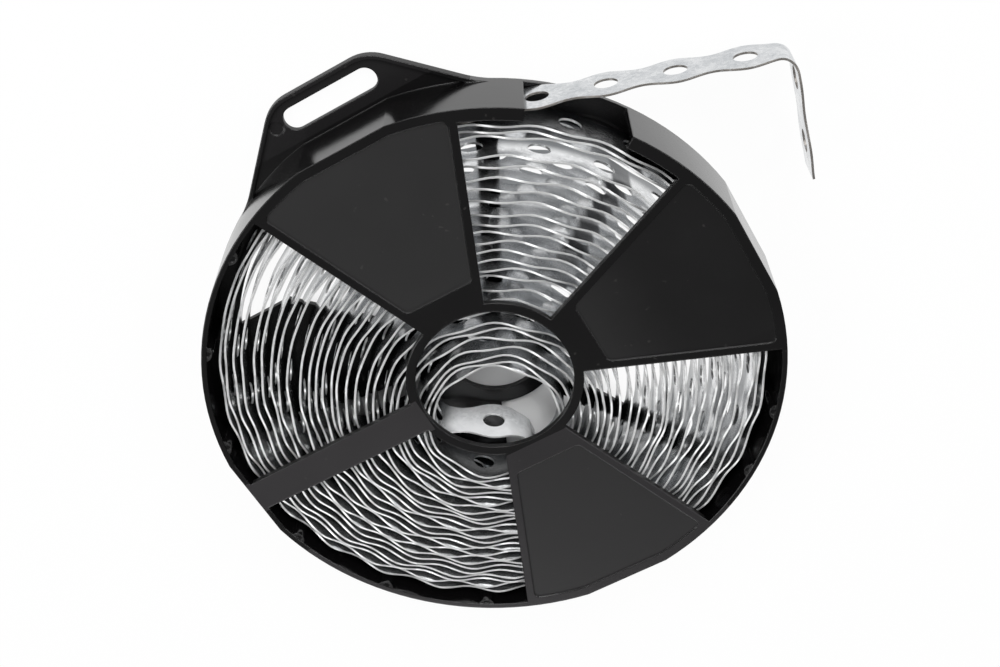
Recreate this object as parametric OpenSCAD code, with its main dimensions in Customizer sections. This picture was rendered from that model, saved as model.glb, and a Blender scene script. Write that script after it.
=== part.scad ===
// Coil of perforated steel band in a moulded carrying cassette, lying on its back.
// The axis of the coil is +Z, the floor is Z = 0 and the handle points to +Y.

/* [Cassette] */
// Radius of the round rim
rim_r = 90; // [84:1:110]
// Depth of the cassette from its back to its front
cassette_depth = 23; // [22:0.5:30]
// Thickness of the rim wall
wall_t = 1.6; // [1.2:0.1:2.2]
// Thickness of the back and front plates
plate_t = 2; // [1.4:0.1:2.4]
// Width of each of the four flats on the rim
flat_w = 29; // [12:1:36]
// Room between the edge of the band and the front plate
front_room = 1.7; // [0.6:0.1:3]

/* [Front] */
// Radius of the hole in the front hub ring
front_hub_r = 24.5; // [20:0.5:32]
// Width of the front hub ring
front_ring_w = 3; // [2:0.5:6]
// Angle that each of the three wide panels covers
panel_angle = 45; // [30:1:50]
// Width of the narrow spoke
spoke_w = 10.5; // [6:0.5:16]
// Depth of the label field in each wide panel
field_depth = 0.4; // [0.2:0.1:0.8]
// Distance from a label field to the outline of the rim
field_border = 3.2; // [2.4:0.2:6]
// Distance from a label field to the straight edges of its panel
field_side = 2.6; // [2:0.2:6]
// Distance from the hub ring to a label field
field_inset = 6.2; // [3:0.2:10]
// Corner radius of a label field
field_corner_r = 2; // [1:0.5:5]

/* [Back] */
// Radius of the hole in the back hub ring
back_hub_r = 16; // [12:0.5:20]
// Width of the back hub ring
back_ring_w = 5; // [3:0.5:7]
// Width of the closed border around the back windows
back_border_w = 8.5; // [6:0.5:12]
// Width of the two straight bars across the back
back_bar_w = 7; // [4:0.5:12]
// Distance from the axis to the straight edge of the back's closed part, towards the handle
back_edge = 47.2; // [40:0.2:54]

/* [Handle] */
// Reach of the handle past the rim
handle_reach = 14.4; // [13:0.2:20]
// Half the width of the handle's straight top edge before it is rounded
handle_half_w = 16.6; // [15:0.2:24]
// Corner radius of the handle
handle_corner_r = 13; // [6:0.5:13]
// Radius of the blend between the handle's flanks and the rim
handle_blend_r = 40; // [20:1:60]
// Length of the handle slot
slot_l = 31.4; // [24:0.2:34]
// Height of the handle slot
slot_h = 7.4; // [5:0.2:8]
// Distance from the slot to the handle's top edge
slot_rim = 3.7; // [3:0.1:5]
// Width of the raised bead along the handle's edge
bead_w = 1.3; // [0.8:0.1:2]
// Height of the bead above the handle plate
bead_h = 1; // [0.4:0.1:2]

/* [Exit] */
// Width of the gap through which the band leaves, straight across
exit_w = 31.9; // [26:0.1:36]
// Direction of the middle of the gap
exit_dir = 44.8; // [43:0.2:47]
// Width of the lip in the front plane at each end of the gap
lip_w = 4; // [3:0.5:6]

/* [Band] */
// Width of the band at its waist, between two holes
waist_w = 12; // [10:0.5:13.5]
// Thickness of the band
band_t = 0.8; // [0.6:0.1:1.2]
// Diameter of the holes
hole_d = 7; // [5:0.1:8]
// Distance from hole to hole
hole_pitch = 20; // [16:0.5:25]

/* [Coil] */
// Number of turns that show on the ends of the coil
turns = 28; // [18:1:30]
// Radius of the bore inside the innermost turn
bore_r = 20; // [16:0.5:24]
// Distance that the loose bore has dropped from the coil's axis
bore_drop = 17; // [0:0.5:18]
// Mean room between the outermost turn and the rim wall
coil_gap = 2.9; // [2.8:0.1:5]
// Distance that the coil lies off the axis, away from the exit
coil_shift = 0.9; // [0:0.1:1]

/* [Free end] */
// Distance along the free end to its first hole
lead_l = 29.6; // [26:0.2:36]
// Number of holes before the bend
straight_holes = 4; // [3:1:6]
// Number of holes after the bend
bent_holes = 2; // [1:1:3]
// Angle of the bend
bend_angle = 88; // [30:1:95]
// Inside radius of the bend
bend_r = 4.5; // [3:0.5:5]

/* [Hidden] */
$fn = 96;

// Directions of the panels, the spoke, the back's closed parts and the loose bore
quarter = 90;
panel_dirs = [0, quarter, -quarter];
spoke_dir = 180;
flat_dirs = [0, quarter, -quarter, 180];
back_panels = [[135, 174], [184, 246.5]];
back_bar_dirs = [62, -62];
bore_dir = 241.5;
post_dirs = [121.5, 144, 166.5, 193.5, 216, 238.5, 307.5, 322.5];
wedge_step = 15;
flank_angle = 45;
diagonal_share = sqrt(2);
arc_steps = 8;

// Room for cuts to run past a face, and small clearances
overrun = 1;
rest_gap = 0.3;
exit_gap = 0.3;
strip_sink = 0.2;
blend_sink = 0.1;

// Posts on the inside of the rim wall
post_r = 2.7;
post_reach = 1.7;
post_drop = 0.4;
post_mark_r = 1;
post_mark_in = 1.3;
post_mark_depth = 0.3;

// Round mark in the corner of the handle
handle_mark_r = 2.2;
handle_mark_depth = 0.4;
handle_mark_inset = 3;

// Derived sizes of the cassette
far = 2 * rim_r;
flat_d = sqrt(rim_r * rim_r - flat_w * flat_w / 4);
inner_r = rim_r - wall_t;
inner_flat_d = flat_d - wall_t;
front_z = cassette_depth - plate_t;
front_ring_r = front_hub_r + front_ring_w;
exit_half = asin(exit_w / (2 * rim_r));
exit_start = exit_dir - exit_half;
exit_end = exit_dir + exit_half;
back_ring_r = back_hub_r + back_ring_w;
back_window_r = rim_r - back_border_w;
handle_top = rim_r + handle_reach;
flank_sum = handle_half_w + handle_top;
blend_along = flank_sum / diagonal_share + handle_blend_r;
blend_out = rim_r - blend_sink + handle_blend_r;
blend_across = sqrt(max(0, blend_out * blend_out - blend_along * blend_along));
slot_y = handle_top - slot_rim - slot_h / 2;

// Derived sizes of the band, the coil and the free end: the band's width across a hole fills the cassette
band_w = front_z - plate_t - rest_gap - front_room;
band_z = plate_t + rest_gap + band_w / 2;
wave_share = 0.5;
mean_w = (band_w + waist_w) * wave_share;
wave_w = (band_w - waist_w) * wave_share;
wave_steps = 20;
coil_r = inner_r - coil_gap;
groove_d = (band_w - waist_w) * wave_share;
strip_outer = coil_r - coil_shift - strip_sink;
strip_mid = strip_outer - band_t / 2;
leave_dir = exit_end + acos(strip_outer / (inner_r - exit_gap));
bend_share = 0.6;
bend_mid_r = bend_r + band_t / 2;
bend_arc = bend_mid_r * bend_angle * PI / 180;
bend_thin = 0.02;
bend_lap = 3;
bend_spare = 10;
bend_s = lead_l + (straight_holes - 1 + bend_share) * hole_pitch;
bend_start = bend_s - bend_arc / 2;
bend_end = bend_s + bend_arc / 2;
strip_end = lead_l + (straight_holes + bent_holes - wave_share) * hole_pitch;

// Inner radius of a turn on the coil's ends, and its place off the axis
function turn_r(k) = bore_r + (coil_r - band_t - bore_r) * k / (turns - 1);
function turn_x(k) = bore_drop + (coil_shift - bore_drop) * k / (turns - 1);

// Width of the wavy band at a distance along it
function width_at(s) = mean_w + wave_w * cos(360 * (s - lead_l) / hole_pitch);

// Distance along the band at an angle from the middle of its bend
function bend_place(a) = bend_s + bend_arc * a / bend_angle;

// Places on one straight stretch of the band at which its outline has points
function stretch(a, b) = [for (i = [0 : 1 : ceil((b - a) / hole_pitch * wave_steps)])
    min(b, a + i * hole_pitch / wave_steps)];

// Points of an arc
function arc(x, y, radius, from, to) = [for (i = [0 : arc_steps])
    let (a = from + (to - from) * i / arc_steps) [x + radius * cos(a), y + radius * sin(a)]];

// Sector of a disc between two directions, reaching past the rim
module sector(from, to) {
    count = ceil((to - from) / wedge_step);
    polygon(concat([[0, 0]], [for (i = [0 : count])
        let (a = from + (to - from) * i / count) [far * cos(a), far * sin(a)]]));
}

// Flat ring
module ring(inner, outer) {
    difference() {
        circle(outer);
        circle(inner);
    }
}

// Bar from the axis outwards
module bar(direction, width, reach) {
    rotate(direction)
        translate([0, -width / 2])
            square([reach, width]);
}

// Outline of the rim: a disc with four flats
module rim_outline(radius, flat_at) {
    difference() {
        circle(radius);
        for (a = flat_dirs)
            rotate(a)
                translate([flat_at, -far / 2])
                    square([far, far]);
    }
}

// Outline of the handle with its flanks blended into the rim, drawn smaller all round by an inset
module handle_outline(inset) {
    radius = handle_corner_r - inset;
    cy = handle_top - handle_corner_r;
    cx = handle_half_w + handle_corner_r - handle_corner_r * diagonal_share;
    blend = handle_blend_r + inset;
    bx = (blend_along - blend_across) / diagonal_share;
    by = (blend_along + blend_across) / diagonal_share;
    foot = 2 * quarter + atan2(by, bx);
    polygon(concat(arc(bx, by, blend, foot, 2 * quarter + flank_angle),
                   arc(cx, cy, radius, flank_angle, quarter),
                   arc(-cx, cy, radius, quarter, 2 * quarter - flank_angle),
                   arc(-bx, by, blend, -flank_angle, 2 * quarter - foot)));
}

// Handle slot with round ends
module slot_outline() {
    half = (slot_l - slot_h) / 2;
    translate([-half, slot_y - slot_h / 2])
        square([2 * half, slot_h]);
    for (side = [-1, 1])
        translate([side * half, slot_y])
            circle(slot_h / 2);
}

// Part of a panel that keeps a distance from both of its straight edges
module panel_wedge(inset) {
    half = panel_angle / 2;
    translate([inset / sin(half), 0])
        sector(-half, half);
}

// Part of a panel that lies along +X, between a straight inner side and the rim's outline
module field_part(start, side, border) {
    intersection() {
        rim_outline(rim_r - border, flat_d - border);
        panel_wedge(side);
        translate([start, -far])
            square(2 * far);
    }
}

// Label field of a panel that lies along +X, with rounded corners
module field_outline() {
    half = panel_angle / 2;
    start = front_ring_r + field_inset;
    near = start + field_corner_r;
    deep = field_side + field_corner_r;
    reach = rim_r - field_border - field_corner_r;
    field_part(start, deep, field_border);
    field_part(near, field_side, field_border + field_corner_r);
    for (side = [-1, 1]) {
        translate([near, side * (near * tan(half) - deep / cos(half))])
            circle(field_corner_r);
        rotate(side * (half - asin(deep / reach)))
            translate([reach, 0])
                circle(field_corner_r);
    }
}

// Openings of the back plate
module back_windows() {
    difference() {
        ring(back_ring_r, back_window_r);
        intersection() {
            for (p = back_panels)
                sector(p[0], p[1]);
            translate([-far, -far])
                square([far, far + back_edge]);
        }
        for (a = back_bar_dirs)
            bar(a, back_bar_w, far);
    }
}

// Panels, spoke, hub ring and exit lips of the front
module front_outline() {
    ring(front_hub_r, front_ring_r);
    intersection() {
        difference() {
            rim_outline(rim_r, flat_d);
            circle(front_hub_r);
        }
        union() {
            for (a = panel_dirs)
                rotate(a)
                    sector(-panel_angle / 2, panel_angle / 2);
            bar(spoke_dir, spoke_w, far);
        }
    }
    intersection() {
        ring(rim_r - lip_w, rim_r);
        union() {
            sector(panel_dirs[0] + panel_angle / 2, exit_start);
            sector(exit_end, panel_dirs[1] - panel_angle / 2);
        }
    }
}

// Half-round posts along the inside of the rim wall, each with a round mark on its end
module posts() {
    height = cassette_depth - post_drop;
    for (a = post_dirs)
        rotate(a)
            translate([inner_r - post_reach, 0, 0])
                difference() {
                    translate([post_r, 0, 0])
                        cylinder(r = post_r, h = height);
                    translate([post_mark_in, 0, height - post_mark_depth])
                        cylinder(r = post_mark_r, h = plate_t);
                }
}

// Rim wall with its exit gap
module rim_wall() {
    difference() {
        linear_extrude(cassette_depth)
            difference() {
                rim_outline(rim_r, flat_d);
                rim_outline(inner_r, inner_flat_d);
            }
        translate([0, 0, plate_t])
            linear_extrude(cassette_depth)
                sector(exit_start, exit_end);
    }
}

// Back plate with the handle and its bead
module back_plate() {
    difference() {
        linear_extrude(plate_t)
            difference() {
                union() {
                    rim_outline(rim_r, flat_d);
                    handle_outline(0);
                }
                circle(back_hub_r);
                back_windows();
                slot_outline();
            }
        translate([-slot_l / 2 - handle_mark_inset, slot_y, plate_t - handle_mark_depth])
            cylinder(r = handle_mark_r, h = plate_t);
    }
    linear_extrude(plate_t + bead_h)
        difference() {
            handle_outline(0);
            handle_outline(bead_w);
            circle(rim_r - wall_t / 2);
        }
}

// Black moulded cassette in one piece
module cassette() {
    color([0.09, 0.09, 0.095])
        difference() {
            union() {
                back_plate();
                rim_wall();
                intersection() {
                    posts();
                    linear_extrude(far)
                        rim_outline(rim_r - wall_t / 2, flat_d - wall_t / 2);
                }
                translate([0, 0, front_z])
                    linear_extrude(plate_t)
                        front_outline();
            }
            for (a = panel_dirs)
                rotate(a)
                    translate([0, 0, cassette_depth - field_depth])
                        linear_extrude(plate_t)
                            field_outline();
        }
}

// One straight stretch of the wavy band, standing on its edge along X
module strip(a, b, holes) {
    s = stretch(a, b);
    rotate([quarter, 0, 0])
        linear_extrude(band_t, center = true)
            difference() {
                polygon(concat([for (p = s) [p, width_at(p) / 2]],
                               [for (i = [len(s) - 1 : -1 : 0]) [s[i], -width_at(s[i]) / 2]]));
                for (k = holes)
                    translate([lead_l + k * hole_pitch, 0])
                        circle(d = hole_d);
            }
}

// Bend of the free end, cut to the band's wavy width, drawn a little thinner and lapped into both stretches
module strip_bend() {
    turn = bend_angle + 2 * bend_lap;
    reach = turn / 2 + bend_spare;
    angles = [for (i = [0 : wave_steps]) reach * (2 * i / wave_steps - 1)];
    intersection() {
        rotate(quarter - bend_angle - bend_lap)
            rotate_extrude(angle = turn)
                translate([bend_r + bend_thin / 2, -band_w / 2])
                    square([band_t - bend_thin, band_w]);
        rotate(-bend_angle / 2)
            rotate([quarter, 0, 0])
                linear_extrude(far, center = true)
                    polygon(concat([for (a = angles) [bend_mid_r * sin(a), width_at(bend_place(a)) / 2]],
                        [for (i = [wave_steps : -1 : 0])
                            [bend_mid_r * sin(angles[i]), -width_at(bend_place(angles[i])) / 2]]));
    }
}

// Free end: it leaves the coil, passes the exit gap and is bent at its end
module free_end() {
    first = [for (k = [0 : straight_holes - 1]) k];
    last = [for (k = [straight_holes : straight_holes + bent_holes - 1]) k];
    rotate(leave_dir - quarter)
        translate([0, strip_mid, band_z]) {
            strip(0, bend_start, first);
            translate([bend_start, -bend_mid_r, 0]) {
                strip_bend();
                rotate(-bend_angle)
                    translate([-bend_end, bend_mid_r, 0])
                        strip(bend_end, strip_end, last);
            }
        }
}

// Gap between a turn and the next one out: both are as thick as the band, and their centres differ
module turn_gap(k) {
    difference() {
        translate([turn_x(k + 1), 0])
            circle(turn_r(k + 1));
        translate([turn_x(k), 0])
            circle(turn_r(k) + band_t);
    }
}

// Wound turns as one turned solid with its loose bore; the turns stand out on both ends
module wound_coil() {
    half = band_w / 2;
    rotate(bore_dir)
        difference() {
            translate([coil_shift, 0, 0])
                cylinder(r = coil_r, h = band_w, center = true);
            translate([bore_drop, 0, 0])
                cylinder(r = bore_r, h = band_w + 2 * overrun, center = true);
            for (k = [0 : turns - 2], z = [half - groove_d, -half - overrun])
                translate([0, 0, z])
                    linear_extrude(groove_d + overrun)
                        turn_gap(k);
        }
}

// Galvanised steel band: the coil and its free end are one strip
module steel_band() {
    color([0.74, 0.76, 0.78]) {
        translate([0, 0, band_z])
            wound_coil();
        free_end();
    }
}

cassette();
steel_band();
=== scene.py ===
"""Looks of a coil of perforated steel band in a black moulded cassette, around its fixed CAD frame."""
import logging
import math
from collections.abc import Iterable
from dataclasses import dataclass, field
from enum import Enum

import bmesh
import bpy
import numpy as np
from mathutils import Matrix, Vector

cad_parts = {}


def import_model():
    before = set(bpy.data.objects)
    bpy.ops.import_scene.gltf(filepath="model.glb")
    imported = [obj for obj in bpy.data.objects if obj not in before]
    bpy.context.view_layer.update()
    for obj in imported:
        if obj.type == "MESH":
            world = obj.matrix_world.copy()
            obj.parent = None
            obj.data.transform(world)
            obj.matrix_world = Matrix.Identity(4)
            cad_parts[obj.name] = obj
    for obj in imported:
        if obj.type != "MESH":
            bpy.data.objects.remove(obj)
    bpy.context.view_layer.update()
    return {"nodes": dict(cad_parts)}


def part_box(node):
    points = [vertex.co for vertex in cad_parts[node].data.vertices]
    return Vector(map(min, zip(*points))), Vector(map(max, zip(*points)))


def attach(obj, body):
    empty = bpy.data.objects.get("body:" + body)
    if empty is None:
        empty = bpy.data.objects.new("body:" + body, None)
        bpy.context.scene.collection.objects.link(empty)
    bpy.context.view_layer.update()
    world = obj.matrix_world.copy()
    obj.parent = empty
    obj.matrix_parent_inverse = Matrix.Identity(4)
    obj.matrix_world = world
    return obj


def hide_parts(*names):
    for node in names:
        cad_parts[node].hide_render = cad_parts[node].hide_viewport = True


LOG = logging.getLogger("band_coil")
MM = 0.001
BODY = "root"
CASSETTE_NODE = "cassette"
BAND_NODE = "steel_band"

Pair = tuple[float, float]
Triple = tuple[float, float, float]
Colour = tuple[float, float, float]
Socket = bpy.types.NodeSocket


class Stretch(Enum):
    """Stretches of the band, by the names of their pieces."""

    WOUND = "wound_turns"
    FREE = "free_end"


class BandSide(Enum):
    """Material slots of the band's mesh."""

    FACE = 0
    CUT = 1


def metres(lengths: Iterable[float]) -> tuple[float, ...]:
    """Turn lengths in millimetres into metres."""
    return tuple(length * MM for length in lengths)


def deselect() -> None:
    """Leave edit mode and deselect every object."""
    if bpy.context.object and bpy.context.object.mode != "OBJECT":
        bpy.ops.object.mode_set(mode="OBJECT")
    bpy.ops.object.select_all(action="DESELECT")


def activate(piece: bpy.types.Object) -> None:
    """Make one object the only selected and active one.

    Args:
        piece: The object.
    """
    deselect()
    piece.select_set(True)
    bpy.context.view_layer.objects.active = piece


def edit_all(piece: bpy.types.Object) -> None:
    """Enter edit mode on a piece with all of its mesh selected.

    Args:
        piece: The object.
    """
    activate(piece)
    bpy.ops.object.mode_set(mode="EDIT")
    bpy.ops.mesh.select_all(action="SELECT")


def apply_modifiers(piece: bpy.types.Object) -> None:
    """Apply all modifiers of a piece, in their order.

    Args:
        piece: The object.
    """
    activate(piece)
    for name in [modifier.name for modifier in piece.modifiers]:
        bpy.ops.object.modifier_apply(modifier=name)


class Nodes:
    """Builder of one material's node tree around its Principled shader."""

    def __init__(self, name: str) -> None:
        """Start a material with a shader, an output and object coordinates.

        Args:
            name: Name of the material.
        """
        self.material = bpy.data.materials.new(name)
        self.material.use_nodes = True
        self.tree = self.material.node_tree
        self.tree.nodes.clear()
        self.shader = self.add("ShaderNodeBsdfPrincipled")
        self.output = self.add("ShaderNodeOutputMaterial")
        self.link(self.shader.outputs["BSDF"], self.output.inputs["Surface"])
        self.place = self.add("ShaderNodeTexCoord").outputs["Object"]

    def add(self, kind: str, **values: object) -> bpy.types.Node:
        """Add a node and set its properties and unlinked inputs.

        Args:
            kind: Blender's name of the node type.
            values: Properties of the node, or values of its inputs by name.

        Returns:
            The new node.
        """
        node = self.tree.nodes.new(kind)
        for key, value in values.items():
            if hasattr(node, key):
                setattr(node, key, value)
            else:
                node.inputs[key.replace("_", " ")].default_value = value
        return node

    def link(self, source: Socket, target: Socket) -> None:
        """Connect two sockets."""
        self.tree.links.new(source, target)

    def feed(self, source: Socket, name: str) -> None:
        """Connect a socket to an input of the shader."""
        self.link(source, self.shader.inputs[name])

    def fix(self, name: str, value: float) -> None:
        """Set an input of the shader to a value."""
        self.shader.inputs[name].default_value = value

    def split(self, vector: Socket) -> bpy.types.NodeOutputs:
        """Split a vector into its X, Y and Z.

        Args:
            vector: The vector.

        Returns:
            The sockets, by the names X, Y and Z.
        """
        node = self.add("ShaderNodeSeparateXYZ")
        self.link(vector, node.inputs["Vector"])
        return node.outputs

    def noise(self, scale: float, detail: float = 2.0, squeeze: Triple = (1.0, 1.0, 1.0)) -> Socket:
        """Noise on object coordinates.

        Args:
            scale: Cells in a metre.
            detail: Detail of the noise.
            squeeze: Scale along each axis.

        Returns:
            The noise's factor.
        """
        mapping = self.add("ShaderNodeMapping", Scale=squeeze)
        self.link(self.place, mapping.inputs["Vector"])
        node = self.add("ShaderNodeTexNoise", Scale=scale, Detail=detail)
        self.link(mapping.outputs["Vector"], node.inputs["Vector"])
        return node.outputs["Fac"]

    def spangle(self, scale: float) -> Socket:
        """Random grey of crystal cells on object coordinates.

        Args:
            scale: Cells in a metre.

        Returns:
            The grey.
        """
        node = self.add("ShaderNodeTexVoronoi", Scale=scale)
        self.link(self.place, node.inputs["Vector"])
        tone = self.add("ShaderNodeSeparateColor")
        self.link(node.outputs["Color"], tone.inputs["Color"])
        return tone.outputs["Red"]

    def along(self, direction: Triple) -> Socket:
        """Distance from the origin along a direction.

        Args:
            direction: The direction.

        Returns:
            The distance in metres.
        """
        node = self.add("ShaderNodeVectorMath", operation="DOT_PRODUCT")
        self.link(self.place, node.inputs[0])
        node.inputs[1].default_value = direction
        return node.outputs["Value"]

    def away(self, spot: Triple) -> Socket:
        """Distance from a spot.

        Args:
            spot: The spot in millimetres.

        Returns:
            The distance in metres.
        """
        node = self.add("ShaderNodeVectorMath", operation="DISTANCE")
        self.link(self.place, node.inputs[0])
        node.inputs[1].default_value = metres(spot)
        return node.outputs["Value"]

    def axis_reach(self) -> Socket:
        """Distance from the upright axis.

        Returns:
            The distance in metres.
        """
        flat = self.add("ShaderNodeVectorMath", operation="MULTIPLY")
        self.link(self.place, flat.inputs[0])
        flat.inputs[1].default_value = (1.0, 1.0, 0.0)
        node = self.add("ShaderNodeVectorMath", operation="LENGTH")
        self.link(flat.outputs["Vector"], node.inputs[0])
        return node.outputs["Value"]

    def ramp(self, factor: Socket, start: float, end: float) -> Socket:
        """Step smoothly from 0 to 1.

        Args:
            factor: The value that the step follows.
            start: Value at which the step is 0.
            end: Value at which the step is 1.

        Returns:
            The step.
        """
        node = self.add("ShaderNodeMapRange", From_Min=start, From_Max=end)
        node.interpolation_type = "SMOOTHSTEP"
        self.link(factor, node.inputs["Value"])
        return node.outputs["Result"]

    def span(self, factor: Socket, low: float, high: float) -> Socket:
        """Map a factor of 0 to 1 on a span of values.

        Args:
            factor: The factor.
            low: Value for 0.
            high: Value for 1.

        Returns:
            The value.
        """
        node = self.add("ShaderNodeMapRange", To_Min=low, To_Max=high)
        self.link(factor, node.inputs["Value"])
        return node.outputs["Result"]

    def math(self, operation: str, a: Socket, b: Socket | float = 0.0) -> Socket:
        """Combine a socket with a number or another socket.

        Args:
            operation: Blender's name of the operation.
            a: First value.
            b: Second value, which some operations ignore.

        Returns:
            The result.
        """
        node = self.add("ShaderNodeMath", operation=operation)
        self.link(a, node.inputs[0])
        if isinstance(b, (int, float)):
            node.inputs[1].default_value = b
        else:
            self.link(b, node.inputs[1])
        return node.outputs["Value"]

    def over(self, value: Socket, limit: float) -> Socket:
        """Mask of where a value is over a limit."""
        return self.math("GREATER_THAN", value, limit)

    def under(self, value: Socket, limit: float) -> Socket:
        """Mask of where a value is under a limit."""
        return self.math("LESS_THAN", value, limit)

    def all_of(self, *masks: Socket) -> Socket:
        """Product of masks.

        Args:
            masks: The masks, two or more.

        Returns:
            The mask of where all hold.
        """
        product = masks[0]
        for mask in masks[1:]:
            product = self.math("MULTIPLY", product, mask)
        return product

    def blend(self, factor: Socket, a: Socket | Colour, b: Socket | Colour) -> Socket:
        """Mix two colours.

        Args:
            factor: Share of the second colour.
            a: First colour.
            b: Second colour.

        Returns:
            The mixed colour.
        """
        node = self.add("ShaderNodeMix", data_type="RGBA")
        self.link(factor, node.inputs[0])
        for value, socket in ((a, node.inputs[6]), (b, node.inputs[7])):
            if isinstance(value, tuple):
                socket.default_value = (*value, 1.0)
            else:
                self.link(value, socket)
        return node.outputs[2]

    def rounded(self, radius: float, samples: int) -> Socket:
        """Normal that rounds sharp edges.

        Args:
            radius: Radius of the edges in millimetres.
            samples: Rays of each lookup.

        Returns:
            The normal.
        """
        return self.add("ShaderNodeBevel", samples=samples, Radius=radius * MM).outputs["Normal"]

    def bump(self, height: Socket, strength: float, depth: float, below: Socket | None = None) -> Socket:
        """Bump the surface.

        Args:
            height: Height factor.
            strength: Strength of the bump.
            depth: Depth of the bump in millimetres.
            below: Normal of the surface that the bump lies on.

        Returns:
            The bumped normal.
        """
        node = self.add("ShaderNodeBump", Strength=strength, Distance=depth * MM)
        self.link(height, node.inputs["Height"])
        if below is not None:
            self.link(below, node.inputs["Normal"])
        return node.outputs["Normal"]


@dataclass(frozen=True)
class SteelFinish:
    """Galvanised steel: spangled faces with painted light and shade, and cut edges that are bright, partly
    as a painted highlight, or worn.

    Lengths are in millimetres and scales in cells a metre. A pair holds the two ends of a fade.
    """

    light: Colour = (0.76, 0.77, 0.78)
    # On the free end's faces this darker tone is painted shade against its brighter light; on its worn cut
    # edges it gives the lighter streaks.
    dull_and_shade: Colour = (0.5, 0.52, 0.54)
    bright_steel: Colour = (0.92, 0.93, 0.94)
    face_rough: Pair = (0.26, 0.13)
    face_metal: float = 0.97
    spangle_scale: float = 900.0
    cloud_scale: float = 160.0
    cloud_step: Pair = (0.35, 0.68)
    wave_scale: float = 70.0
    wave_depth: float = 0.9
    grain_strength: float = 0.25
    grain_depth: float = 0.02
    # Painted shade: the wound faces darken to this colour lower down in the coil, more so on the far side.
    deep_shade: Colour = (0.15, 0.16, 0.17)
    deep_shade_z: Pair = (9.0, 15.5)
    deep_shade_side: Pair = (0.02, 0.036)
    # Painted reflection of a bar below the coil: a dark radial stripe on the wound faces.
    bar_reflection_tone: Colour = (0.05, 0.054, 0.06)
    bar_dir: float = 30.3
    bar_half: Pair = (4.0, 2.6)
    bar_r: Pair = (42.0, 46.0)
    bar_share: float = 0.95
    # Painted light: around this spot the inner end of the band is lightened towards the bright steel tone
    # and made less metallic.
    painted_lit_end_at: Triple = (-12.0, -19.0, 10.8)
    painted_lit_end_r: Pair = (18.0, 12.0)
    painted_lit_end_share: Pair = (0.6, 1.0)
    painted_lit_end_metal: float = 0.15
    # Cut edges in the coil: partly the cut steel's own tone, partly a painted highlight.
    cut: Colour = (0.86, 0.86, 0.85)
    worn_cut: Colour = (0.24, 0.225, 0.21)
    worn_step: Pair = (0.55, 0.9)
    streak: Triple = (1.0, 1.0, 0.2)
    cut_rough: float = 0.34
    cut_metal: float = 0.6
    edge_r: float = 0.3

    def face(self, stretch: Stretch) -> bpy.types.Material:
        """Faces of the band, with spangle and clouds.

        Args:
            stretch: Stretch of the band.

        Returns:
            The material.
        """
        wound = stretch is Stretch.WOUND
        n = Nodes("galvanised_wound_face" if wound else "galvanised_face")
        clouds = n.ramp(n.noise(self.cloud_scale, detail=4.0), *self.cloud_step)
        tone = n.math("MULTIPLY", n.math("ADD", n.spangle(self.spangle_scale), clouds), 0.5)
        n.fix("Metallic", self.face_metal)
        # The free end's faces take a darker tone than the wound ones: painted shade.
        n.feed(self.coil_tone(n, tone) if wound else n.blend(tone, self.dull_and_shade, self.light), "Base Color")
        n.feed(n.span(tone, *self.face_rough), "Roughness")
        waves = n.bump(n.noise(self.wave_scale, detail=1.0), 1.0, self.wave_depth)
        grain = n.noise(self.spangle_scale, detail=3.0)
        n.feed(n.bump(grain, self.grain_strength, self.grain_depth, waves), "Normal")
        return n.material

    def coil_tone(self, n: Nodes, tone: Socket) -> Socket:
        """Colour of the wound faces: painted shade lower down, a painted reflection of a bar and painted
        light at the inner end.

        Args:
            n: Node tree of the faces, whose metal fades in the painted light at the inner end.
            tone: Share of light spangle.

        Returns:
            The colour.
        """
        # Painted shade: darker lower down between the turns and towards the far side.
        bright_steel = n.ramp(n.along((*self.deep_shade_side, 1.0)), *metres(self.deep_shade_z))
        base = n.blend(bright_steel, self.deep_shade, n.blend(tone, self.light, self.bright_steel))
        # Painted reflection of a bar, as a dark stripe.
        base = n.blend(self.painted_bar_reflection(n), base, self.bar_reflection_tone)
        # Painted light at the inner end of the band.
        painted_lit_end = n.ramp(n.away(self.painted_lit_end_at), *metres(self.painted_lit_end_r))
        n.feed(n.span(painted_lit_end, self.face_metal, self.painted_lit_end_metal), "Metallic")
        return n.blend(n.all_of(painted_lit_end, n.span(tone, *self.painted_lit_end_share)), base, self.bright_steel)

    def painted_bar_reflection(self, n: Nodes) -> Socket:
        """Mask of a painted reflection: the dark stripe that a bar below the coil would mirror in the faces
        over it.

        Args:
            n: Node tree of the faces.

        Returns:
            The mask.
        """
        turn = math.radians(self.bar_dir)
        across = n.math("ABSOLUTE", n.along((-math.sin(turn), math.cos(turn), 0.0)))
        stripe = n.ramp(across, *metres(self.bar_half))
        out = n.ramp(n.along((math.cos(turn), math.sin(turn), 0.0)), *metres(self.bar_r))
        return n.math("MULTIPLY", n.all_of(stripe, out), self.bar_share)

    def edge(self, stretch: Stretch) -> bpy.types.Material:
        """Cut edges and hole walls, bright in the coil, partly as a painted highlight, and worn dark on the
        free end.

        Args:
            stretch: Stretch of the band.

        Returns:
            The material.
        """
        wound = stretch is Stretch.WOUND
        n = Nodes("galvanised_cut_edge" if wound else "worn_cut_edge")
        streaks = n.noise(self.spangle_scale, squeeze=self.streak)
        if wound:
            # Partly painted highlight: the coil's cut edges are lighter than its faces.
            base = n.blend(streaks, self.light, self.cut)
        else:
            base = n.blend(n.ramp(streaks, *self.worn_step), self.worn_cut, self.dull_and_shade)
        n.feed(base, "Base Color")
        n.feed(n.rounded(self.edge_r, samples=4), "Normal")
        n.fix("Metallic", self.cut_metal)
        n.fix("Roughness", self.cut_rough)
        return n.material


@dataclass(frozen=True)
class MouldingZones:
    """Masks of the moulding's zones in one node tree."""

    label: Socket
    # Mask of painted light on the spoke, the low panel and the handle's top.
    painted_light: Socket
    upright: Socket
    wall: Socket


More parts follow.
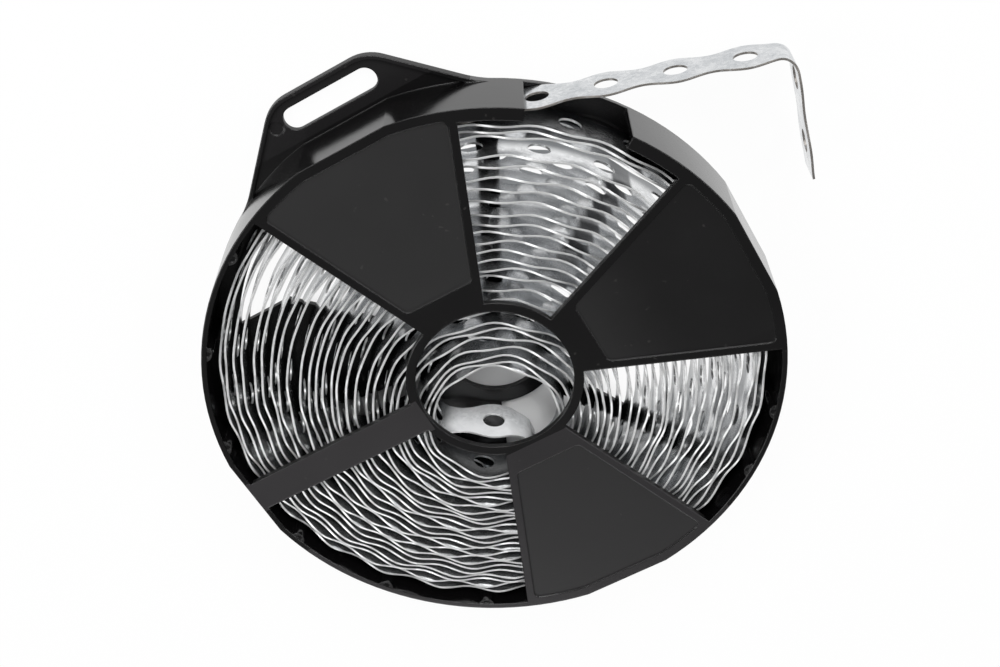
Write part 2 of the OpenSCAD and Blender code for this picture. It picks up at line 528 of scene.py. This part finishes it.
@dataclass(frozen=True)
class PlasticFinish:
    """Black moulded plastic: satin borders, fine textured label fields and a polished rim.

    Lengths are in millimetres and scales in cells a metre.
    """

    border: Colour = (0.003, 0.0028, 0.003)
    label: Colour = (0.0058, 0.0055, 0.0058)
    # Painted light: a lighter tone on the spoke, the low panel and the handle's top.
    painted_light: Colour = (0.028, 0.0265, 0.028)
    speck: Colour = (0.05, 0.048, 0.046)
    border_rough: float = 0.24
    label_rough: float = 0.52
    wall_rough: float = 0.16
    side_rough: float = 0.5
    cloud_rough: float = 0.06
    border_gloss: float = 0.5
    wall_gloss: float = 0.65
    refraction: float = 1.52
    edge_r: float = 0.6
    grain_scale: float = 2600.0
    grain_strength: float = 0.18
    grain_depth: float = 0.05
    cloud_scale: float = 45.0
    cloud_strength: float = 0.15
    cloud_depth: float = 0.4
    dust_scale: float = 420.0
    dust_step: Pair = (0.74, 0.8)
    dust_share: float = 0.3
    up_limit: float = 0.7
    upright_limit: float = 0.3
    wall_r: Pair = (86.5, 91.0)
    # Painted shade: the label fields darken towards +X.
    label_painted_shade_x: Pair = (20.0, 60.0)
    label_painted_shade: float = 0.3
    low_y: float = -26.0
    low_x: float = 42.0
    # On the low panel the label fields keep this share of their tone and take the rest from the tone around
    # them, mostly painted light.
    low_label: float = 0.8
    spoke_x: float = -25.0
    spoke_half: float = 6.0
    # The painted light fades to this share towards +X; the handle's top gets a smaller share.
    painted_light_fade_x: Pair = (-40.0, 0.0)
    painted_light_fade: float = 0.7
    handle_y: float = 90.0
    handle_painted_light: float = 0.25

    def build(self, depth: float, sink: float) -> bpy.types.Material:
        """Material of the whole moulding.

        Args:
            depth: Height of the cassette's front in metres.
            sink: Depth of the label fields in metres.

        Returns:
            The material.
        """
        n = Nodes("black_moulded_plastic")
        zones = self.zones(n, depth, sink)
        clouds = n.noise(self.cloud_scale, detail=3.0)
        n.feed(self.tone(n, zones), "Base Color")
        n.feed(self.roughness(n, zones, clouds), "Roughness")
        grain = n.noise(self.grain_scale, detail=3.0)
        rounded = n.rounded(self.edge_r, samples=6)
        grain = n.bump(grain, self.grain_strength, self.grain_depth, rounded)
        n.feed(n.bump(clouds, self.cloud_strength, self.cloud_depth, grain), "Normal")
        polish = n.all_of(zones.wall, zones.upright)
        n.feed(n.span(polish, self.border_gloss, self.wall_gloss), "Specular IOR Level")
        n.fix("IOR", self.refraction)
        return n.material

    def zones(self, n: Nodes, depth: float, sink: float) -> MouldingZones:
        """Find the zones by place and direction.

        Args:
            n: Node tree of the moulding.
            depth: Height of the cassette's front in metres.
            sink: Depth of the label fields in metres.

        Returns:
            The zones.
        """
        at = n.split(n.place)
        slope = n.split(n.add("ShaderNodeNewGeometry").outputs["Normal"])["Z"]
        up = n.over(slope, self.up_limit)
        front = n.all_of(up, n.over(at["Z"], depth - 1.5 * sink))
        low = n.under(at["Y"], self.low_y * MM)
        label = n.all_of(front, n.under(at["Z"], depth - 0.5 * sink))
        # Painted shade on the label fields towards +X, and painted light on them on the low panel.
        label = n.all_of(label, n.span(n.ramp(at["X"], *metres(self.label_painted_shade_x)), 1.0, self.label_painted_shade))
        label = n.all_of(label, n.span(low, 1.0, self.low_label))
        beside = n.math("ABSOLUTE", at["Y"])
        spoke = n.all_of(n.under(at["X"], self.spoke_x * MM), n.under(beside, self.spoke_half * MM))
        # Painted light on the spoke, the low panel and the handle's top, fading towards +X.
        panel = n.all_of(low, n.under(at["X"], self.low_x * MM))
        painted_light = n.all_of(n.math("MAXIMUM", spoke, panel), front)
        painted_light = n.all_of(painted_light, n.span(n.ramp(at["X"], *metres(self.painted_light_fade_x)), 1.0, self.painted_light_fade))
        handle = n.all_of(up, n.over(at["Y"], self.handle_y * MM))
        painted_light = n.math("MAXIMUM", painted_light, n.math("MULTIPLY", handle, self.handle_painted_light))
        upright = n.under(n.math("ABSOLUTE", slope), self.upright_limit)
        reach = n.axis_reach()
        wall = n.all_of(n.over(reach, self.wall_r[0] * MM), n.under(reach, self.wall_r[1] * MM))
        return MouldingZones(label, painted_light, upright, wall)

    def tone(self, n: Nodes, zones: MouldingZones) -> Socket:
        """Colour by zone, with painted light and shade, and a little dust.

        Args:
            n: Node tree of the moulding.
            zones: Its zones.

        Returns:
            The colour.
        """
        base = n.blend(zones.painted_light, self.border, self.painted_light)
        base = n.blend(zones.label, base, self.label)
        dust = n.ramp(n.noise(self.dust_scale, detail=1.0), *self.dust_step)
        return n.blend(n.math("MULTIPLY", dust, self.dust_share), base, self.speck)

    def roughness(self, n: Nodes, zones: MouldingZones, clouds: Socket) -> Socket:
        """Roughness by zone, a little uneven.

        Args:
            n: Node tree of the moulding.
            zones: Its zones.
            clouds: Uneven factor around a half.

        Returns:
            The roughness.
        """
        rough = n.span(zones.label, self.border_rough, self.label_rough)
        rough = n.math("ADD", rough, n.span(clouds, -self.cloud_rough, self.cloud_rough))
        change = n.span(zones.wall, self.side_rough - self.border_rough, self.wall_rough - self.border_rough)
        return n.math("ADD", rough, n.all_of(zones.upright, change))


@dataclass(frozen=True)
class FloorFinish:
    """Plain pale floor that reads white, with painted light and a painted shade under the cassette over its
    real shadow; lengths in millimetres.
    """

    tone: Colour = (0.8, 0.8, 0.8)
    glow_share: float = 0.96
    middle: Triple = (0.0, 0.0, 0.0)
    clear_r: Pair = (78.0, 90.0)
    shade_at: Triple = (-60.0, -40.0, 0.0)
    shade_r: Pair = (64.0, 90.0)

    def build(self) -> bpy.types.Material:
        """Diffuse floor, mixed with white for camera and mirror rays: painted light under the near side of
        the cassette and a painted shade under the rest, where the real shadow shows.

        Returns:
            The material.
        """
        n = Nodes("pale_floor")
        n.tree.nodes.remove(n.shader)
        diffuse = n.add("ShaderNodeBsdfDiffuse", Color=(*self.tone, 1.0))
        glow = n.add("ShaderNodeEmission", Strength=1.0)
        path = n.add("ShaderNodeLightPath")
        clear = n.ramp(n.away(self.middle), *metres(self.clear_r))
        # Painted shade: no glow near shade_at; further off, the floor glows as painted light, even under the
        # cassette.
        lit = n.ramp(n.away(self.shade_at), *metres(self.shade_r))
        open_floor = n.math("MAXIMUM", clear, lit)
        seen = n.math("MAXIMUM", path.outputs["Is Camera Ray"], path.outputs["Is Glossy Ray"])
        seen = n.math("MAXIMUM", seen, path.outputs["Is Transmission Ray"])
        mix = n.add("ShaderNodeMixShader")
        n.link(n.all_of(seen, n.span(open_floor, 0.0, self.glow_share)), mix.inputs["Fac"])
        n.link(diffuse.outputs["BSDF"], mix.inputs[1])
        n.link(glow.outputs["Emission"], mix.inputs[2])
        n.link(mix.outputs["Shader"], n.output.inputs["Surface"])
        return n.material


def turned(point: Iterable[float], angle: float) -> np.ndarray:
    """Turn a plan point about the origin.

    Args:
        point: The point.
        angle: Angle in radians.

    Returns:
        The turned point.
    """
    x, y = point
    return np.array((x * math.cos(angle) - y * math.sin(angle), x * math.sin(angle) + y * math.cos(angle)))


def rounded_path(corners: list[Iterable[float]], radii: Iterable[float], step: float) -> np.ndarray:
    """Points along straight stretches with round corners.

    Args:
        corners: Plan points in millimetres.
        radii: Radius at each inner corner.
        step: Largest distance between points.

    Returns:
        The points, from the first corner to the last.
    """
    corners = [np.array(corner, float) for corner in corners]
    points = [corners[0]]
    for before, corner, after, radius in zip(corners, corners[1:], corners[2:], radii):
        start = (before - corner) / np.linalg.norm(before - corner)
        end = (after - corner) / np.linalg.norm(after - corner)
        half = math.acos(max(-1.0, min(1.0, float(start @ end)))) / 2
        bisector = (start + end) / np.linalg.norm(start + end)
        centre = corner + bisector * radius / math.sin(half)
        first = corner + start * radius / math.tan(half) - centre
        turn = math.pi - 2 * half
        sign = np.sign(start[1] * end[0] - start[0] * end[1])
        count = max(4, math.ceil(radius * turn / step))
        points += [centre + turned(first, angle) for angle in np.linspace(0.0, sign * turn, count + 1)]
    points.append(corners[-1])
    dense = [points[0]]
    for a, b in zip(points, points[1:]):
        count = max(1, math.ceil(np.linalg.norm(b - a) / step))
        dense += [a + (b - a) * i / count for i in range(1, count + 1)]
    return np.array(dense)


@dataclass(frozen=True)
class Beat:
    """One wave of bunching across the turns: period in turns, size, lobes around the coil and phase."""

    period: float
    size: float
    lobes: int
    phase: float


@dataclass
class BandRoute:
    """Line that the band follows in plan, from its inner end to its bent tip, in millimetres and degrees."""

    strip_mid: float = 84.0
    far_r: float = 85.8
    far_rise: float = 1.3
    turns: int = 26
    bore_top: float = 3.0
    bore_low: float = 37.15
    near_dir: float = 61.5
    leave_dir: float = 71.672
    start_dir: float = 148.0
    lead_l: float = 29.6
    bend_at: float = 101.6
    bend_angle: float = 88.0
    bend_mid_r: float = 4.9
    strip_end: float = 139.6
    tail: tuple[Pair, ...] = ((-4.2, -33.2), (-3.0, -27.0), (-6.8, -21.8), (-14.3, -17.0), (-26.6, -9.6))
    tail_radii: tuple[float, ...] = (5.0, 3.5, 20.0, 4.5)
    tail_join: int = 3
    tail_lean: float = -4.0
    # Places along the inner end where the lean starts, is full, starts to fade and is gone
    lean_at: tuple[float, ...] = (3.0, 12.0, 28.0, 60.0)
    step: float = 1.0
    beats: tuple[Beat, ...] = (
        Beat(period=2.1, size=0.36, lobes=1, phase=0.4),
        Beat(period=3.4, size=0.26, lobes=-1, phase=2.1),
        Beat(period=6.7, size=0.2, lobes=2, phase=4.0),
    )
    # Turns counted inwards from the rim, each with its shift on the near side
    near_shifts: tuple[Pair, ...] = ((1, 1.6), (3, 4.0), (4, 1.2), (8, -0.2), (9, -2.0), (16, -0.9),
                                     (19, -3.6), (20, -4.7), (21, -2.9), (24, -3.9), (26, -1.3))
    loose_share: float = 0.72

    def slack(self, grown: np.ndarray, phi: np.ndarray) -> np.ndarray:
        """Shift of the turns that bunches them here and spreads them there.

        Args:
            grown: Share of the way from the bore to the rim.
            phi: Direction around the coil in radians.

        Returns:
            Shift as a share of the way out.
        """
        room = self.loose_share * (1 - np.cos(phi - math.radians(self.near_dir)) ** 2 / 2)
        fade = np.clip(grown * self.turns / 2, 0, 1) * np.clip((1 - grown) * self.turns / 2, 0, 1)
        total = np.zeros_like(grown)
        for beat in self.beats:
            rate = 2 * math.pi * self.turns / beat.period
            total += beat.size / rate * np.sin(rate * grown + beat.lobes * phi + beat.phase)
        return total * room * fade

    def wound(self) -> np.ndarray:
        """Plan points of the wound turns, which hang low and are shifted on the near side.

        Returns:
            The points, from the innermost turn to the outermost.
        """
        near = math.radians(self.near_dir)
        extra = (self.start_dir - self.leave_dir) / 360
        sweep = 2 * math.pi * (self.turns + extra)
        share = np.linspace(0.0, 1.0, math.ceil(sweep * self.strip_mid / 2 / self.step))
        phi = math.radians(self.leave_dir) + sweep * (1 - share)
        grown = share + self.slack(share, phi)
        inward = (phi - near) / (2 * math.pi)
        top = self.bore_top + (self.strip_mid - self.bore_top) * grown
        top += np.interp(inward, *zip(*self.near_shifts)) * np.clip(2 * inward, 0, 1)
        low = self.bore_low + (self.far_r - self.bore_low) * grown
        drop = (top - low) / 2
        radius = (top + low) / 2
        x = drop * math.cos(near) + radius * np.cos(phi)
        y = drop * math.sin(near) + radius * np.sin(phi)
        return np.stack([x, y], 1)

    def free_end(self) -> np.ndarray:
        """Plan points of the free end.

        Returns:
            The points, from the coil to the bent tip.
        """
        bend = math.radians(self.bend_angle)
        corner = self.bend_mid_r * math.tan(bend / 2)
        arc = self.bend_mid_r * bend
        reach = self.bend_at - arc / 2 + corner
        last = self.strip_end - self.bend_at - arc / 2 + corner
        tip = (reach + last * math.cos(-bend), self.strip_mid + last * math.sin(-bend))
        local = [(0.0, self.strip_mid), (reach, self.strip_mid), tip]
        leave = math.radians(self.leave_dir - 90)
        return rounded_path([turned(point, leave) for point in local], [self.bend_mid_r], self.step)

    def points(self) -> tuple[np.ndarray, float]:
        """Whole line and its length up to the place where the free end leaves.

        Returns:
            Points in millimetres, raised a little on the far side, and that length.
        """
        wound = self.wound()
        tail = rounded_path([*self.tail, wound[self.tail_join]], self.tail_radii, self.step)
        inner = np.concatenate([tail, wound[self.tail_join + 1:]])
        length = float(np.linalg.norm(np.diff(inner, axis=0), axis=1).sum())
        plan = np.concatenate([inner, self.free_end()[1:]])
        near = math.radians(self.near_dir)
        away = self.strip_mid - plan @ np.array([math.cos(near), math.sin(near)])
        rise = self.far_rise * np.clip(away / (self.strip_mid + self.far_r), 0.0, 1.0)
        rise[len(inner):] = 0.0
        return np.column_stack([plan, rise]), length

    def lean(self, points: np.ndarray) -> np.ndarray:
        """Lean of the band at each point, which only the inner end has.

        Args:
            points: Points of the line.

        Returns:
            Angles in radians.
        """
        along = np.concatenate([[0.0], np.linalg.norm(np.diff(points, axis=0), axis=1).cumsum()])
        most = math.radians(self.tail_lean)
        return np.interp(along, self.lean_at, (0.0, most, most, 0.0))


@dataclass(frozen=True)
class CellGrid:
    """Fineness of one pitch of the band: segments of the hole, rings around it, columns beside it."""

    sides: int
    rings: int
    columns: int


@dataclass
class SteelBand:
    """Wavy perforated band: one pitch is modelled flat, then repeated and wound; lengths in millimetres."""

    finish: SteelFinish = field(default_factory=SteelFinish)
    route: BandRoute = field(default_factory=BandRoute)
    pitch: float = 20.0
    wide: float = 17.0
    waist: float = 12.0
    thick: float = 0.7
    hole_r: float = 3.5
    block: float = 5.5
    lead_cells: float = 1.5
    tolerance: float = 0.01
    smooth_angle: float = 40.0
    turn_grid: CellGrid = CellGrid(sides=24, rings=2, columns=2)
    end_grid: CellGrid = CellGrid(sides=48, rings=3, columns=6)

    def half_width(self, x: float) -> float:
        """Half the band's width at a distance from a hole.

        Args:
            x: The distance along the band.

        Returns:
            Half the width.
        """
        mean = (self.wide + self.waist) / 2
        wave = (self.wide - self.waist) / 2
        return (mean + wave * math.cos(2 * math.pi * x / self.pitch)) / 2

    def cell(self, grid: CellGrid) -> bpy.types.Object:
        """Model one pitch of the band as a flat sheet in X and Z, with its round hole.

        Args:
            grid: Fineness of the sheet, with sides a multiple of 8.

        Returns:
            The sheet, with its hole at the origin.
        """
        deselect()
        upright = (math.pi / 2, 0.0, 0.0)
        bpy.ops.mesh.primitive_circle_add(vertices=grid.sides, radius=self.hole_r * MM, rotation=upright)
        sheet = bpy.context.object
        bpy.ops.object.transform_apply(location=False, rotation=True, scale=False)
        edit_all(sheet)
        for ring in range(grid.rings):
            grow = (self.hole_r + ring + 1) / (self.hole_r + ring)
            bpy.ops.mesh.extrude_region()
            bpy.ops.transform.resize(value=(grow, 1.0, grow), center_override=(0.0, 0.0, 0.0))
        self.spread_rings(sheet, grid.rings)
        step = (self.pitch / 2 - self.block) / grid.columns
        for side in (-1, 1):
            for _ in range(grid.columns):
                self.select_end(sheet, side)
                bpy.ops.mesh.extrude_region()
                bpy.ops.transform.translate(value=(side * step * MM, 0.0, 0.0))
        self.shape_waves(sheet)
        bpy.ops.mesh.select_all(action="SELECT")
        bpy.ops.mesh.normals_make_consistent(inside=False)
        bpy.ops.object.mode_set(mode="OBJECT")
        return sheet

    def spread_rings(self, sheet: bpy.types.Object, rings: int) -> None:
        """Pull the rings around the hole out to a block with straight ends.

        Args:
            sheet: The sheet, in edit mode.
            rings: Rings of faces around the hole.
        """
        mesh = bmesh.from_edit_mesh(sheet.data)
        for v in mesh.verts:
            share = (math.hypot(v.co.x, v.co.z) / MM - self.hole_r) / rings
            if share < self.tolerance:
                continue
            angle = math.atan2(v.co.z, v.co.x)
            hole = (self.hole_r * math.cos(angle), self.hole_r * math.sin(angle))
            box = self.block_point(angle)
            v.co.x = (hole[0] + (box[0] - hole[0]) * share) * MM
            v.co.z = (hole[1] + (box[1] - hole[1]) * share) * MM
        bmesh.update_edit_mesh(sheet.data)

    def block_point(self, angle: float) -> Pair:
        """Point on the outline of the block around the hole.

        Args:
            angle: Direction from the hole's middle in radians.

        Returns:
            The point along and across the band.
        """
        eighth = math.pi / 4
        quarter = round(angle / (2 * eighth))
        across = (angle - quarter * 2 * eighth) / eighth
        if quarter % 2 == 0:
            sign = 1 if quarter == 0 else -1
            return sign * self.block, sign * across * self.half_width(self.block)
        sign = 1 if quarter == 1 else -1
        return -sign * across * self.block, sign * self.half_width(across * self.block)

    def select_end(self, sheet: bpy.types.Object, side: int) -> None:
        """Select the edges at one end of the sheet.

        Args:
            sheet: The sheet, in edit mode.
            side: 1 for the end at +X, -1 for the other.
        """
        bpy.ops.mesh.select_all(action="DESELECT")
        mesh = bmesh.from_edit_mesh(sheet.data)
        reach = max(side * v.co.x for v in mesh.verts)
        for v in mesh.verts:
            if side * v.co.x > reach - self.tolerance * MM:
                v.select_set(True)
        mesh.select_flush(True)
        bmesh.update_edit_mesh(sheet.data)

    def shape_waves(self, sheet: bpy.types.Object) -> None:
        """Draw the plain columns in to the band's wavy width.

        Args:
            sheet: The sheet, in edit mode.
        """
        mesh = bmesh.from_edit_mesh(sheet.data)
        nominal = self.half_width(self.block)
        for v in mesh.verts:
            x = v.co.x / MM
            if abs(x) > self.block + self.tolerance:
                v.co.z *= self.half_width(x) / nominal
        bmesh.update_edit_mesh(sheet.data)

    def guide(self, points: np.ndarray) -> bpy.types.Object:
        """Curve that the sheets are wound along.

        Args:
            points: Points in millimetres.

        Returns:
            The curve object.
        """
        curve = bpy.data.curves.new("band_route", "CURVE")
        curve.dimensions = "3D"
        curve.twist_mode = "Z_UP"
        curve.use_deform_bounds = False
        spline = curve.splines.new("POLY")
        spline.points.add(len(points) - 1)
        for spot, point, lean in zip(spline.points, points, self.route.lean(points)):
            spot.co = (*(point * MM), 1.0)
            spot.tilt = float(lean)
        guide = bpy.data.objects.new("band_route", curve)
        bpy.context.scene.collection.objects.link(guide)
        return guide

    def lay_out(self, sheet: bpy.types.Object, start: float, count: int) -> None:
        """Repeat a sheet along X and trim it at the start of the route.

        Args:
            sheet: One pitch of the band.
            start: Place of the first pitch along the route.
            count: Number of pitches.
        """
        edit_all(sheet)
        bpy.ops.transform.translate(value=((start + self.pitch / 2) * MM, 0.0, 0.0))
        bpy.ops.object.mode_set(mode="OBJECT")
        repeat = sheet.modifiers.new("repeat", "ARRAY")
        repeat.use_relative_offset = False
        repeat.use_constant_offset = True
        repeat.constant_offset_displace = (self.pitch * MM, 0.0, 0.0)
        repeat.count = count
        repeat.use_merge_vertices = True
        repeat.merge_threshold = self.tolerance * MM
        apply_modifiers(sheet)
        edit_all(sheet)
        bpy.ops.mesh.bisect(plane_co=(0.0, 0.0, 0.0), plane_no=(1.0, 0.0, 0.0), clear_inner=True)
        bpy.ops.object.mode_set(mode="OBJECT")

    def wind(self, sheet: bpy.types.Object, guide: bpy.types.Object) -> None:
        """Wind a sheet along the route, give it its thickness and lift it to its place.

        Args:
            sheet: The laid out sheet.
            guide: Curve of the route.
        """
        bend = sheet.modifiers.new("wind", "CURVE")
        bend.object = guide
        bend.deform_axis = "POS_X"
        body = sheet.modifiers.new("thickness", "SOLIDIFY")
        body.thickness = self.thick * MM
        body.offset = 0.0
        body.material_offset_rim = BandSide.CUT.value
        apply_modifiers(sheet)
        edit_all(sheet)
        low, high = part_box(BAND_NODE)
        bpy.ops.transform.translate(value=(0.0, 0.0, (low.z + high.z) / 2))
        bpy.ops.object.mode_set(mode="OBJECT")
        bpy.ops.object.shade_smooth_by_angle(angle=math.radians(self.smooth_angle))

    def make(self, stretch: Stretch, guide: bpy.types.Object, start: float, count: int) -> bpy.types.Object:
        """Make one stretch of the band.

        Args:
            stretch: The stretch.
            guide: Curve of the route.
            start: Place of its first pitch along the route.
            count: Number of pitches.

        Returns:
            The finished piece.
        """
        piece = self.cell(self.turn_grid if stretch is Stretch.WOUND else self.end_grid)
        piece.name = stretch.value
        piece.data.name = stretch.value
        finishes = {BandSide.FACE: self.finish.face(stretch), BandSide.CUT: self.finish.edge(stretch)}
        for side in BandSide:
            piece.data.materials.append(finishes[side])
        self.lay_out(piece, start, count)
        self.wind(piece, guide)
        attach(piece, BODY)
        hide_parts(BAND_NODE)
        return piece

    def build(self) -> list[bpy.types.Object]:
        """Make the wound turns and the free end, which meet half a pitch before a hole.

        Returns:
            The two pieces.
        """
        points, length = self.route.points()
        guide = self.guide(points)
        cut = length + self.route.lead_l - self.lead_cells * self.pitch
        wound = math.ceil(cut / self.pitch)
        free = round((self.route.strip_end - self.route.lead_l) / self.pitch + self.lead_cells)
        turns = self.make(Stretch.WOUND, guide, cut - wound * self.pitch, wound)
        end = self.make(Stretch.FREE, guide, cut, free)
        bpy.data.objects.remove(guide)
        return [turns, end]


@dataclass
class Cassette:
    """Black moulding that holds the coil: the CAD node with its finish."""

    node: bpy.types.Object
    finish: PlasticFinish = field(default_factory=PlasticFinish)
    label_sink: float = 0.4

    def dress(self) -> bpy.types.Object:
        """Give the CAD node its material.

        Returns:
            The node.
        """
        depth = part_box(CASSETTE_NODE)[1].z
        material = self.finish.build(depth, self.label_sink * MM)
        self.node.data.materials.clear()
        self.node.data.materials.append(material)
        return self.node


@dataclass(frozen=True)
class Lamp:
    """Square soft lamp that points at the coil.

    The turn is in degrees from the near side and the height in degrees above the floor. The side of the
    lamp and its distance are in metres.
    """

    name: str
    turn: float
    height: float
    side: float
    watts: float
    reach: float = 1.4

    def hang(self, near_dir: float) -> None:
        """Hang the lamp.

        Args:
            near_dir: Direction of the near side, in degrees from +X.
        """
        data = bpy.data.lights.new(self.name, "AREA")
        data.size = self.side
        data.energy = self.watts
        azimuth, height = math.radians(near_dir + self.turn), math.radians(self.height)
        level = math.cos(height)
        place = Vector((math.cos(azimuth) * level, math.sin(azimuth) * level, math.sin(height))) * self.reach
        lamp = bpy.data.objects.new(self.name, data)
        lamp.location = place
        lamp.rotation_euler = (-place).to_track_quat("-Z", "Y").to_euler()
        bpy.context.scene.collection.objects.link(lamp)


@dataclass
class Studio:
    """Floor, lamps, background and camera, in millimetres, degrees and the photo's pixels."""

    near_dir: float = 61.5
    elevation: float = 59.844
    roll: float = -1.2741
    distance: float = 478.01
    slide: float = 1.54
    lift: float = 14.75
    aim_z: float = 23.0
    focal_px: float = 1551.49
    photo_w: int = 1000
    sensor: float = 36.0
    clip_start: float = 10.0
    floor_size: float = 4000.0
    floor_gap: float = 0.05
    floor: FloorFinish = field(default_factory=FloorFinish)
    fill: float = 0.15
    lamps: tuple[Lamp, ...] = (
        Lamp("near_lamp", turn=0.0, height=36.0, side=0.9, watts=14.0),
        Lamp("far_lamp", turn=180.0, height=30.0, side=0.6, watts=3.0),
        Lamp("right_lamp", turn=-75.0, height=40.0, side=0.7, watts=5.0),
        Lamp("left_lamp", turn=100.0, height=42.0, side=0.7, watts=8.0),
        Lamp("right_edge_lamp", turn=-56.0, height=34.0, side=0.4, watts=2.5),
        Lamp("left_edge_lamp", turn=46.0, height=34.0, side=0.4, watts=2.5),
    )

    def axes(self) -> tuple[Vector, Vector, Vector]:
        """Directions of the camera.

        Returns:
            Right, up and back as vectors.
        """
        near = math.radians(self.near_dir)
        tilt = math.radians(self.elevation)
        turn = math.radians(self.roll)
        toward = Vector((math.cos(near), math.sin(near), 0.0))
        right = Vector((math.sin(near), -math.cos(near), 0.0))
        back = toward * math.cos(tilt) + Vector((0.0, 0.0, math.sin(tilt)))
        up = toward * math.sin(tilt) - Vector((0.0, 0.0, math.cos(tilt)))
        rolled_right = right * math.cos(turn) + up * math.sin(turn)
        rolled_up = up * math.cos(turn) - right * math.sin(turn)
        return rolled_right, rolled_up, back

    def place_camera(self) -> None:
        """Set the camera at the photo's viewing angle."""
        right, up, back = self.axes()
        place = Vector((0.0, 0.0, self.aim_z)) + right * self.slide + up * self.lift + back * self.distance
        data = bpy.data.cameras.new("camera")
        data.sensor_width = self.sensor
        data.lens = self.focal_px / self.photo_w * self.sensor
        data.clip_start = self.clip_start * MM
        camera = bpy.data.objects.new("camera", data)
        matrix = Matrix((right, up, back)).transposed().to_4x4()
        matrix.translation = place * MM
        camera.matrix_world = matrix
        bpy.context.scene.collection.objects.link(camera)
        bpy.context.scene.camera = camera

    def lay_floor(self) -> None:
        """Lay the floor just below the cassette's back."""
        deselect()
        place = (0.0, 0.0, -self.floor_gap * MM)
        bpy.ops.mesh.primitive_plane_add(size=self.floor_size * MM, location=place)
        floor = bpy.context.object
        floor.name = "floor"
        floor.data.materials.append(self.floor.build())

    def set_background(self) -> None:
        """Make the background a weak white fill that the camera sees as white."""
        world = bpy.data.worlds.new("studio")
        bpy.context.scene.world = world
        world.use_nodes = True
        nodes, links = world.node_tree.nodes, world.node_tree.links
        nodes.clear()
        mix = nodes.new("ShaderNodeMixShader")
        for strength, socket in ((self.fill, mix.inputs[1]), (1.0, mix.inputs[2])):
            white = nodes.new("ShaderNodeBackground")
            white.inputs["Color"].default_value = (1.0, 1.0, 1.0, 1.0)
            white.inputs["Strength"].default_value = strength
            links.new(white.outputs["Background"], socket)
        links.new(nodes.new("ShaderNodeLightPath").outputs["Is Camera Ray"], mix.inputs["Fac"])
        links.new(mix.outputs["Shader"], nodes.new("ShaderNodeOutputWorld").inputs["Surface"])

    def build(self) -> None:
        """Set up the whole studio."""
        bpy.context.scene.view_settings.view_transform = "Standard"
        self.place_camera()
        self.lay_floor()
        for lamp in self.lamps:
            lamp.hang(self.near_dir)
        self.set_background()


def main() -> None:
    """Load the frame, build, dress and report the pieces, and set up the studio."""
    logging.basicConfig(level=logging.INFO)
    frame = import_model()
    pieces = [Cassette(frame["nodes"][CASSETTE_NODE]).dress(), *SteelBand().build()]
    for piece in pieces:
        LOG.info("%s: %d faces", piece.name, len(piece.data.polygons))
    Studio().build()


if __name__ == "__main__":
    main()
